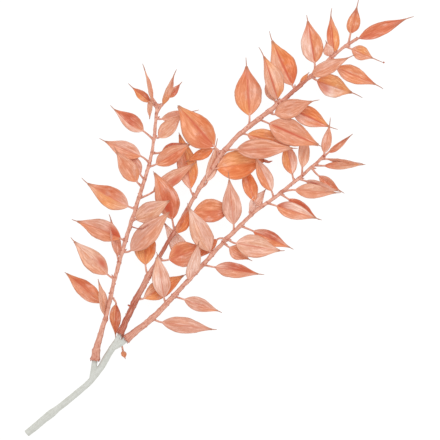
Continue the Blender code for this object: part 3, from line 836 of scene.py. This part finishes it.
def make_blade_tree():
    """Sweeps a row of points along each midrib and shapes it into a folded, rippled blade."""
    tree, build, given = new_geometry_tree("blade_from_midrib", {
        "Columns": ("Int", BLADE_COLUMNS), "Ripple": ("Float", 0.7 * MM), "Ripple Scale": ("Float", 110.0),
        "Ragged": ("Float", 0.05), "Pleat": ("Float", 0.10 * MM), "Cup": ("Float", 0.10),
        "Lowest": ("Float", 0.25 * MM), "Seed": ("Float", 0.0), "Material": ("Material", None),
    })
    line = build.out("GeometryNodeCurvePrimitiveLine", {0: (-1, 0, 0), 1: (1, 0, 0)})
    profile = build.out("GeometryNodeResampleCurve", {"Curve": line, "Count": given["Columns"]})
    profile = stored(build, profile, "across", build.parts(build.out("GeometryNodeInputPosition"))[0])
    midribs = build.out("GeometryNodeMeshToCurve", {0: given["Geometry"]})
    midribs = stored(build, midribs, "rib_place", build.out("GeometryNodeInputPosition"), "FLOAT_VECTOR")
    blades = build.out("GeometryNodeCurveToMesh", {"Curve": midribs, "Profile Curve": profile})

    along, side, half = named(build, "along"), named(build, "across"), named(build, "half")
    rib, left, up = (named(build, name, "FLOAT_VECTOR") for name in ("rib_place", "leftward", "upward"))
    fold, tone = named(build, "fold"), named(build, "tone")
    outline = outline_width(build, along)
    where = build.vector("ADD", build.scaled(rib, given["Ripple Scale"]), build.joined(side, tone, given["Seed"]))
    rough = build.math("SUBTRACT", build.noise(where, 1.0, ROUGH_DETAIL), NOISE_MIDDLE)
    offset = build.math("ABSOLUTE", side)
    edge = build.math("POWER", offset, EDGE_POWER)

    ragged = build.math("MULTIPLY_ADD", rough, build.times(given["Ragged"], RAGGED_GAIN), 1.0)
    lop = build.math("MULTIPLY_ADD", build.math("GREATER_THAN", side, 0.0), named(build, "lop"), 1.0)
    width = build.times(half, outline, ragged, lop)
    reach = build.times(width, side)
    out = build.times(reach, build.math("COSINE", fold))
    rise = build.times(build.math("ABSOLUTE", reach), build.math("SINE", fold))
    curl = build.times(given["Cup"], build.math("MULTIPLY_ADD", tone, 2.0, 1.0))
    cup = build.times(build.math("SUBTRACT", edge, offset), width, curl)
    ripple = build.times(rough, given["Ripple"], build.math("MULTIPLY_ADD", edge, RIPPLE_AT_EDGE, RIPPLE_AT_RIB))
    pleat = build.times(build.math("SINE", build.times(side, PLEATS * math.pi)), given["Pleat"])
    waves = build.times(build.math("ADD", ripple, pleat), build.ramp(outline, WAVES_FROM, WAVES_FULL))
    rise = build.math("ADD", build.math("ADD", rise, cup), waves)

    place = build.vector("ADD", build.vector("ADD", rib, build.scaled(left, out)), build.scaled(up, rise))
    spot = build.parts(place)
    spot = build.joined(spot[0], spot[1], build.math("MAXIMUM", spot[2], given["Lowest"]))
    blades = build.out("GeometryNodeSetPosition", {"Geometry": blades, "Position": spot})
    sheet = build.joined(build.math("MULTIPLY_ADD", side, 0.5, 0.5), along, 0.0)
    blades = stored(build, blades, "UVMap", sheet, "FLOAT2", "CORNER")
    end_geometry_tree(build, blades, given["Material"])
    return tree


blade_tree = make_blade_tree()
print("blade tree:", len(blade_tree.nodes), "nodes")

# %% [markdown]
# ## The stem tree
# A stem is a round tube along its line. Ruscus stems are not smooth: they thicken at each leaf node, the bark is lumpy,
# and it dries into fine lengthwise ridges. The tree sweeps a circle along the line with its radius, swells it to a knot
# at each node, then pushes the skin out by lumps and ridges. It also stores where each point would be if the stem were
# straight, so that the bark's fibres can follow every bend without a seam.

# %% Stem tree
BARE_SHARE = 0.92
KNOT_FADE_UP, KNOT_FADE_DOWN = -1.0, -2.0
THIN, STOUT = 0.3 * MM, 1.8 * MM
LUMP_DETAIL, LUMP_GAIN = 2.0, 2.0


def make_stem_tree():
    """Sweeps a circle along each line, with knots at the nodes, lumps, and lengthwise ridges."""
    tree, build, given = new_geometry_tree("stem_from_line", {
        "Sides": ("Int", 20), "Knots": ("Float", 0.2), "Knot Length": ("Float", 2.0), "Lumps": ("Float", 0.6 * MM),
        "Lump Scale": ("Float", 230.0), "Ridges": ("Float", 0.05), "Ridge Count": ("Float", 7.0),
        "Seed": ("Float", 0.0), "Material": ("Material", None),
    })
    circle = build.out("GeometryNodeCurvePrimitiveCircle", {"Resolution": given["Sides"], "Radius": 1.0},
                       mode="RADIUS")
    turn = build.math("DIVIDE", build.out("GeometryNodeInputIndex"), given["Sides"])
    circle = stored(build, circle, "around", turn)
    thick, around = named(build, "thick"), named(build, "around")
    above = build.times(build.math("DIVIDE", named(build, "since_node"), given["Knot Length"]), KNOT_FADE_UP)
    below = build.times(build.math("DIVIDE", named(build, "to_node"), given["Knot Length"]), KNOT_FADE_DOWN)
    knot = build.math("ADD", build.math("EXPONENT", above), build.math("EXPONENT", below))
    radius = build.times(thick, build.math("MULTIPLY_ADD", knot, given["Knots"], BARE_SHARE))
    lines = build.out("GeometryNodeMeshToCurve", {0: given["Geometry"]})
    tubes = build.out("GeometryNodeCurveToMesh",
                      {"Curve": lines, "Profile Curve": circle, "Scale": radius, "Fill Caps": True})

    where = build.scaled(build.out("GeometryNodeInputPosition"), given["Lump Scale"])
    where = build.vector("ADD", where, build.joined(given["Seed"], 0.0, 0.0))
    lump = build.math("SUBTRACT", build.noise(where, 1.0, LUMP_DETAIL), NOISE_MIDDLE)
    lump = build.times(lump, given["Lumps"], build.times(build.ramp(thick, THIN, STOUT), LUMP_GAIN))
    ridge = build.math("SINE", build.times(around, build.times(given["Ridge Count"], math.tau)))
    ridge = build.times(ridge, given["Ridges"], thick)
    push = build.scaled(build.out("GeometryNodeInputNormal"), build.math("ADD", lump, ridge))
    tubes = build.out("GeometryNodeSetPosition", {"Geometry": tubes, "Offset": push})
    angle = build.times(around, math.tau)
    straight = build.joined(build.times(build.math("COSINE", angle), thick),
                            build.times(build.math("SINE", angle), thick), build.times(named(build, "along"), MM))
    tubes = stored(build, tubes, "straight", straight, "FLOAT_VECTOR")
    end_geometry_tree(build, tubes, given["Material"])
    return tree


stem_tree = make_stem_tree()
print("stem tree:", len(stem_tree.nodes), "nodes")

# %% [markdown]
# ## Shared effects
# Two effects show on every part of a dried plant: fine fibres that run lengthwise, and a soft blotchiness where the dye
# took unevenly. Each is a node group, built once and placed in each material with its own values.

# %% Fibre and blotch groups
SEED_SHIFT = 1.7
FIBRE_DETAIL, FIBRE_ROUGHNESS, FIBRE_DISTORTION = 4.0, 0.62, 0.35
TONE_LOW, TONE_HIGH = 0.36, 0.64
CLOUD_DETAIL = 3.0


def new_effect(name, inputs, outputs):
    """An empty shader node group with these sockets, its helper, its input node and its output node."""
    tree = bpy.data.node_groups.new(name, "ShaderNodeTree")
    new_sockets(tree, "OUTPUT", {title: ("Float", None) for title in outputs})
    new_sockets(tree, "INPUT", inputs)
    return tree, Tree(tree), tree.nodes.new("NodeGroupInput").outputs, tree.nodes.new("NodeGroupOutput").inputs


def make_fibres():
    """Lengthwise fibres. Place holds two sizes across the grain and one along it. Height is relief, Tone is shade."""
    tree, build, given, end = new_effect("fibres", {
        "Place": ("Vector", None), "Across": ("Float", 9.0), "Along": ("Float", 1.6), "Seed": ("Float", 0.0)},
        ("Height", "Tone"))
    place = build.vector("MULTIPLY", given["Place"], build.joined(given["Across"], given["Across"], given["Along"]))
    place = build.vector("ADD", place, build.joined(given["Seed"], build.times(given["Seed"], SEED_SHIFT), 0.0))
    streak = build.noise(place, 1.0, FIBRE_DETAIL, Roughness=FIBRE_ROUGHNESS, Distortion=FIBRE_DISTORTION)
    build.feed(end["Height"], streak)
    build.feed(end["Tone"], build.ramp(streak, TONE_LOW, TONE_HIGH))
    return tree


def make_blotches():
    """Soft blotches in Mask, larger or smaller by Scale."""
    tree, build, given, end = new_effect("blotches", {
        "Place": ("Vector", None), "Scale": ("Float", 60.0), "Low": ("Float", 0.45), "High": ("Float", 0.7)},
        ("Mask",))
    cloud = build.noise(given["Place"], given["Scale"], CLOUD_DETAIL)
    build.feed(end["Mask"], build.ramp(cloud, given["Low"], given["High"]))
    return tree


fibres, blotches = make_fibres(), make_blotches()
print("effects:", fibres.name, blotches.name)

# %% Material helpers
SHEEN = 0.25


def new_material(name):
    """A material with its shader's inputs, and a helper for its tree."""
    material = bpy.data.materials.new(name)
    material.use_nodes = True
    shader = material.node_tree.nodes["Principled BSDF"].inputs
    shader["Specular IOR Level"].default_value = SHEEN
    return material, shader, Tree(material.node_tree)


def attribute(build, name, output="Color"):
    """A value that the mesh keeps under this name, in a shader."""
    return build.node("ShaderNodeAttribute", attribute_name=name, attribute_type="GEOMETRY").outputs[output]


def effect(build, tree, feeds):
    """One of the shared groups, placed with its own values."""
    node = build.node("ShaderNodeGroup", node_tree=tree)
    for title, value in feeds.items():
        build.feed(node.inputs[title], value)
    return node.outputs


def mixed(build, share, first, second, blend="MIX"):
    """Two colours mixed by the share of the second."""
    return build.out("ShaderNodeMix", {0: share, 1: first, 2: second}, data_type="RGBA", blend_type=blend)


def tinted(build, share, dye_and_light, tint):
    """The colour, as much of it multiplied by the tint as the share says."""
    return mixed(build, share, dye_and_light, mixed(build, 1.0, dye_and_light, tint, "MULTIPLY"))


def bumped(build, height, strength, depth):
    """The shading normal of a relief of this depth."""
    return build.out("ShaderNodeBump", {"Strength": strength, "Distance": depth, "Height": height})


print("sheen of every dry surface:", SHEEN)

# %% [markdown]
# ## The leaf material
# A dyed dry leaf is matt and papery. Its two halves are coloured apart, by dye letters that also hold painted light
# and shade, with a deeper line at the midrib, fine veins that meet at both ends, a brownish rim and a brown tip, and
# some leaves have one deep spot. The blade's UV map says how far across and along a point is, so every one of these
# follows the leaf. The veins come from one stretched noise: where it is high the colour is darker, where it is low it
# is a little lighter, and where it passes its middle a fine stroke runs. Each effect is a short function that takes
# the colour so far and gives back the next one. Its ramps are named, and each holds the two values that it runs
# between and then the two that it gives.

# %% Dye, patches and veins of a leaf
PATCH_TINT, VEIN_TINT, STROKE_TINT = (0.95, 0.68, 0.48, 1), (0.84, 0.64, 0.53, 1), (0.75, 0.54, 0.48, 1)
GRAIN_LIGHT = (0.30, 0.24, 0.22, 1)
PALE_PATCH_SHARE = 0.40
PATCH_GAIN, LEAST_PATCH = 0.6, 0.25
SEAM_WANDER, SEAM_SOFTNESS = 0.16, 0.07
VEIN_RAMP, GRAIN_RAMP = (0.48, 0.62, 0.0, 0.85), (0.47, 0.32, 0.0, 0.42)
STROKE_RAMP, STROKE_ON_PALE_RAMP = (0.004, 0.03, 1.0, 0.0), (0.0, 0.6, 0.5, 0.9)


def halves_dye_and_light(build, side, veins):
    """Both halves' dyes and painted light, which meet in a line that wanders with the veins and may lie off the midrib.
    """
    half = build.math("ADD", side, build.math("MULTIPLY_ADD", veins, SEAM_WANDER, -SEAM_WANDER / 2))
    half = build.math("SUBTRACT", half, attribute(build, "split", "Fac"))
    to_left = build.ramp(half, -SEAM_SOFTNESS, SEAM_SOFTNESS)
    return mixed(build, to_left, attribute(build, "right_dye"), attribute(build, "left_dye"))


def patched(build, dye_and_light, rib_tone, deep_patch, pale_patch):
    """Pale patches, and deeper ones that are stronger on a leaf with a dark midrib."""
    dye_and_light = mixed(build, build.times(pale_patch, PALE_PATCH_SHARE), dye_and_light, paint(DYES_AND_PAINTED_LIGHT["W"]))
    strength = build.math("MULTIPLY_ADD", rib_tone, PATCH_GAIN, LEAST_PATCH)
    return tinted(build, build.times(deep_patch, strength), dye_and_light, PATCH_TINT)


def veined(build, dye_and_light, veins, pale_patch):
    """Darker veins, fine strokes that show most on pale patches, and a lighter grain between them."""
    dye_and_light = tinted(build, build.ramp(veins, *VEIN_RAMP), dye_and_light, VEIN_TINT)
    stroke = build.ramp(build.math("ABSOLUTE", build.math("SUBTRACT", veins, NOISE_MIDDLE)), *STROKE_RAMP)
    stroke = build.times(stroke, build.ramp(pale_patch, *STROKE_ON_PALE_RAMP))
    dye_and_light = tinted(build, stroke, dye_and_light, STROKE_TINT)
    lit = mixed(build, 1.0, dye_and_light, GRAIN_LIGHT, "ADD")
    return mixed(build, build.ramp(veins, *GRAIN_RAMP), dye_and_light, lit)


print("pale patches show by up to", PALE_PATCH_SHARE)

# %% Spot, midrib, rim and tip of a leaf
MARK_RED, MIDRIB_RED, RIM_BROWN, TIP_BROWN = (200, 84, 56), (202, 92, 64), (190, 134, 108), (176, 122, 98)
MARK_LENGTH, MARK_WIDTH, MARK_RAGGED = 0.16, 0.4, 1.6
RIB_INNER, RIB_GAIN, RIB_LEAST = 0.01, 0.14, 0.05
RIB_END_RAMP, RIM_RAMP, RIM_ON_PATCH_RAMP = (0.98, 0.75, 0.4, 0.85), (0.84, 1.0, 0.0, 1.0), (0.0, 1.0, 0.45, 0.8)
TIP_RAMP, TIP_SHARE = (0.86, 1.0, 0.0, 1.0), 0.75


def marked(build, dye_and_light, side, along, veins):
    """The leaf's deep spot, which fades along the veins."""
    mark = build.parts(attribute(build, "mark", "Vector"))
    away = [build.math("POWER", build.math("DIVIDE", build.math("SUBTRACT", place, centre), size), 2.0)
            for place, centre, size in ((along, mark[0], MARK_LENGTH), (side, mark[1], MARK_WIDTH))]
    ragged = build.math("MULTIPLY_ADD", veins, MARK_RAGGED, -MARK_RAGGED / 2)
    away = build.math("ADD", build.math("ADD", *away), ragged)
    spot = build.math("MULTIPLY", build.math("EXPONENT", build.times(away, -1.0)), mark[2], clamp=True)
    return mixed(build, spot, dye_and_light, paint(MARK_RED))


def edged(build, dye_and_light, side, along, rib_tone, deep_patch):
    """The midrib's darker line, then the rim and the tip."""
    offset = build.math("ABSOLUTE", side)
    midrib = build.ramp(offset, RIB_INNER, build.math("MULTIPLY_ADD", rib_tone, RIB_GAIN, RIB_LEAST), 1.0, 0.0)
    midrib = build.times(midrib, rib_tone, build.ramp(along, *RIB_END_RAMP))
    dye_and_light = mixed(build, midrib, dye_and_light, paint(MIDRIB_RED))
    rim = build.times(build.ramp(offset, *RIM_RAMP), build.ramp(deep_patch, *RIM_ON_PATCH_RAMP))
    dye_and_light = mixed(build, rim, dye_and_light, paint(RIM_BROWN))
    return mixed(build, build.times(build.ramp(along, *TIP_RAMP), TIP_SHARE), dye_and_light, paint(TIP_BROWN))


print("a spot reaches over", MARK_LENGTH, "of a blade's length and", MARK_WIDTH, "of its half")

# %% Leaf material
ROUGHNESS_GAIN, LEAST_ROUGHNESS = 0.25, 0.5
VEINS_ACROSS, VEINS_ALONG = 5.4, 4.0
PATCH_STRETCH = (1.1, 1.0, 2.6)
DEEP_CLOUD = {"Scale": 1.0, "Low": 0.5, "High": 0.72}
PALE_CLOUD = {"Scale": 1.7, "Low": 0.52, "High": 0.74}
LEAF_BUMP, LEAF_BUMP_DEPTH = 0.5, 0.35 * MM
TONE_SPREAD = 40.0


def make_leaf_material():
    """Dyes and painted light with every effect over them. A leaf's tone shifts its patterns: no two leaves are alike.
    """
    material, shader, build = new_material("papery_leaf")
    sheet = build.parts(build.node("ShaderNodeUVMap", uv_map="UVMap").outputs[0])
    side, along = build.math("MULTIPLY_ADD", sheet[0], 2.0, -1.0), sheet[1]
    seed = build.times(attribute(build, "tone", "Fac"), TONE_SPREAD)
    place = build.joined(side, 0.0, along)
    veins = effect(build, fibres, {
        "Place": place, "Across": VEINS_ACROSS, "Along": VEINS_ALONG, "Seed": seed})["Height"]
    wide = build.vector("MULTIPLY_ADD", place, build.joined(*PATCH_STRETCH), build.joined(0.0, seed, 0.0))
    deep_patch = effect(build, blotches, {"Place": wide, **DEEP_CLOUD})["Mask"]
    pale_patch = effect(build, blotches, {"Place": wide, **PALE_CLOUD})["Mask"]
    rib_tone = attribute(build, "rib_tone", "Fac")

    dye_and_light = patched(build, halves_dye_and_light(build, side, veins), rib_tone, deep_patch, pale_patch)
    dye_and_light = marked(build, veined(build, dye_and_light, veins, pale_patch), side, along, veins)
    build.feed(shader["Base Color"], edged(build, dye_and_light, side, along, rib_tone, deep_patch))
    build.feed(shader["Roughness"], build.math("MULTIPLY_ADD", veins, ROUGHNESS_GAIN, LEAST_ROUGHNESS))
    build.feed(shader["Normal"], bumped(build, veins, LEAF_BUMP, LEAF_BUMP_DEPTH))
    return material


leaf_material = make_leaf_material()
print("leaf material:", len(leaf_material.node_tree.nodes), "nodes")

# %% [markdown]
# ## Materials of the stems
# The orange stems are a pinkish tan with darker, redder bark at each node and in the middle frond's base. The bare
# stem is a faint green-cream, with grey fibres. The bristles are a dull tan and darken towards their tips. A round stem
# looks darker along both flanks, and soft light alone shows too little of that, so the dye is also shaded where the
# surface stops facing up.

# %% Stem, bark and bristle materials
BARK_ROUGHNESS = 0.6
BARK_BUMP, BARK_BUMP_DEPTH = 0.6, 0.4 * MM
BARK_CLOUD = {"Scale": 430.0, "Low": 0.42, "High": 0.68}
KNOT_FADE = -0.8
MARK_GRAIN, LEAST_MARK = 0.5, 0.7
FLANK_RAMP = (0.35, 0.8, 0.75, 0.0)
BARK_SHADE, PALE_SHADE = (0.80, 0.67, 0.61, 1), (0.93, 0.93, 0.91, 1)


def make_stem_material(name, pale, deep, shade, patchiness, across_grain, along_grain):
    """Bark in two tones, deep in patches, at nodes and where marked deep, with fibres, relief and painted flank shade.
    """
    material, shader, build = new_material(name)
    shader["Roughness"].default_value = BARK_ROUGHNESS
    grain = effect(build, fibres, {
        "Place": attribute(build, "straight", "Vector"), "Across": across_grain, "Along": along_grain})
    cloud = effect(build, blotches, {"Place": build.node("ShaderNodeTexCoord").outputs["Object"], **BARK_CLOUD})
    knot = build.math("EXPONENT", build.times(attribute(build, "since_node", "Fac"), KNOT_FADE))
    patches = build.times(build.math("ADD", cloud["Mask"], knot), patchiness)
    streaky = build.math("MULTIPLY_ADD", grain["Tone"], MARK_GRAIN, LEAST_MARK)
    marks = build.times(attribute(build, "deep", "Fac"), streaky)
    dye_and_light = mixed(build, build.math("MAXIMUM", patches, marks, clamp=True), paint(pale), paint(deep))
    dye_and_light = tinted(build, grain["Tone"], dye_and_light, shade)
    facing = build.parts(build.node("ShaderNodeNewGeometry").outputs["Normal"])[2]
    dye_and_light = tinted(build, build.ramp(facing, *FLANK_RAMP), dye_and_light, shade)
    build.feed(shader["Base Color"], dye_and_light)
    build.feed(shader["Normal"], bumped(build, grain["Height"], BARK_BUMP, BARK_BUMP_DEPTH))
    return material


orange_bark = make_stem_material("orange_bark", (240, 189, 168), (182, 94, 70), BARK_SHADE, 0.55, 1500.0, 130.0)
pale_bark = make_stem_material("pale_bark", (209, 210, 204), (191, 191, 183), PALE_SHADE, 0.5, 900.0, 60.0)
bristle_brown = make_stem_material("bristle_brown", (214, 152, 124), (168, 122, 102), BARK_SHADE, 0.3, 1500.0, 200.0)
print("bark:", orange_bark.name, pale_bark.name, bristle_brown.name)

# %% [markdown]
# ## Putting the fronds together
# Each skeleton gets its skin. The blades are a single sheet after the tree, so a Solidify modifier gives them the
# thickness of dry leaf. Then each piece rides on the one body, and together they stand for the frond's CAD solid.

# %% Fronds
LEAF_THICKNESS = 0.35 * MM


def thickened(obj, thickness):
    """The sheet as a closed solid of this thickness."""
    modifier = obj.modifiers.new("thickness", "SOLIDIFY")
    modifier.thickness, modifier.offset, modifier.use_even_offset = thickness, 0.0, False
    return plain(obj)


for number, side in enumerate(FRONDS):
    parts, seed = drawn[side], float(number)
    blades = thickened(skinned(parts["blades"], blade_tree, Seed=seed, Material=leaf_material), LEAF_THICKNESS)
    rachis = skinned(parts["rachis"], stem_tree, Sides=24, Seed=seed, Material=orange_bark)
    stalks = skinned(parts["stalks"], stem_tree, Sides=10, Lumps=0.2 * MM, Seed=seed, Material=orange_bark)
    bristles = skinned(parts["bristles"], stem_tree, Sides=6, Lumps=0.0, Material=bristle_brown)
    for piece in (blades, rachis, stalks, bristles):
        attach(piece, "root")
        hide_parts(f"{side}_frond")
        print(piece.name, len(piece.data.polygons), "faces")

# %% [markdown]
# ## The bare stem
# The pale stem forks where side arms leave it, and real forks are one skin. So the tubes are first swept by the same
# stem tree, then fused by a voxel remesh and smoothed. The last of them is a short web that closes the upper fork. The
# remesh drops the named values, so each point's place on the straightened stem is worked out again from the nearest
# route.

# %% Routes of the bare stem
STEM_PATH = ((42, -250.3, 3.3), (44, -236, 4), (45.5, -224.5, 4.8), (48.5, -206, 6.5), (51, -186, 8.6),
             (51.5, -176, 9.7), (50, -162, 11), (47.5, -152, 12), (45.5, -142, 13.2), (44, -136, 13.6))
STEM_RADII = ((0, 3.4), (20, 3.6), (29, 3.9), (36, 3.1), (75, 2.9), (90, 3.3), (108, 3.3), (117, 2.3), (124, 1.9))
LEFT_ARM_PATH = ((51.5, -176, 9.7), (47.5, -169.5, 10.4))
RIGHT_ARM_PATH = ((46, -143, 13), (48.3, -136, 13.3))
FORK_WEB_PATH = ((45.9, -139.5, 13.0), (45.9, -136, 13.1), (45.9, -131.6, 13.2))
LEFT_ARM_RADII, RIGHT_ARM_RADII = ((0, 2.7), (1, 2.7)), ((0, 2.6), (1, 2.6))
FORK_WEB_RADII = ((0, 2.4), (5, 1.9), (8, 1.5))
SOCKET_DEPTH = 8.0


def route_to(side, route):
    """A route run on into the bottom of a frond's socket."""
    path = FRONDS[side].path
    return Path((*route, path.at(0)[0], path.at(SOCKET_DEPTH)[0]))


ROUTES = ((route_to("middle", STEM_PATH), STEM_RADII), (route_to("left", LEFT_ARM_PATH), LEFT_ARM_RADII),
          (route_to("right", RIGHT_ARM_PATH), RIGHT_ARM_RADII), (Path(FORK_WEB_PATH), FORK_WEB_RADII))
print("routes of the bare stem in mm:", [round(whole.length) for whole, _ in ROUTES])

# %% Pale stem
ROUTE_STEP = 1.0
FORK_VOXEL = 0.45 * MM
SOFTEN, SOFTEN_TIMES = 0.5, 4

bare = Skeleton("pale_stem_bark")
for whole, radii in ROUTES:
    lengths = [step * ROUTE_STEP for step in range(int(whole.length / ROUTE_STEP) + 1)]
    bare.line([tube_row(whole.at(along)[0], between(radii, along), along) for along in lengths])
stem = skinned(bare.made(), stem_tree, Sides=28, Knots=0.0, Lumps=0.5 * MM, Lump_Scale=90.0, Ridges=0.02,
               Ridge_Count=8.0, Seed=5.0, Material=pale_bark)
remesh = stem.modifiers.new("fuse", "REMESH")
remesh.mode, remesh.voxel_size, remesh.use_smooth_shade = "VOXEL", FORK_VOXEL, True
smooth = stem.modifiers.new("soften", "SMOOTH")
smooth.factor, smooth.iterations = SOFTEN, SOFTEN_TIMES
fused = plain(stem).data
print("fused from", len(ROUTES), "tubes:", len(fused.vertices), "points")

# %% Straightened places on the fused stem
spots = [(*whole.at(along), along) for whole, _ in ROUTES for along in range(int(whole.length))]
nearest = KDTree(len(spots))
for index, (point, _, _) in enumerate(spots):
    nearest.insert(point, index)
nearest.balance()
straight = []
for vertex in fused.vertices:
    place = vertex.co / MM
    point, forward, along = spots[nearest.find(place)[1]]
    level, rise = across(forward)
    straight += [(place - point).dot(level) * MM, (place - point).dot(rise) * MM,
                 (along + (place - point).dot(forward)) * MM]
fused.attributes.new("straight", "FLOAT_VECTOR", "POINT").data.foreach_set("vector", straight)
fused.attributes.new("since_node", "FLOAT", "POINT").data.foreach_set("value", [NO_NODE] * len(fused.vertices))
if not fused.materials:
    fused.materials.append(pale_bark)
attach(stem, "root")
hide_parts("pale_stem")
print("pale stem:", len(fused.polygons), "faces")

# %% [markdown]
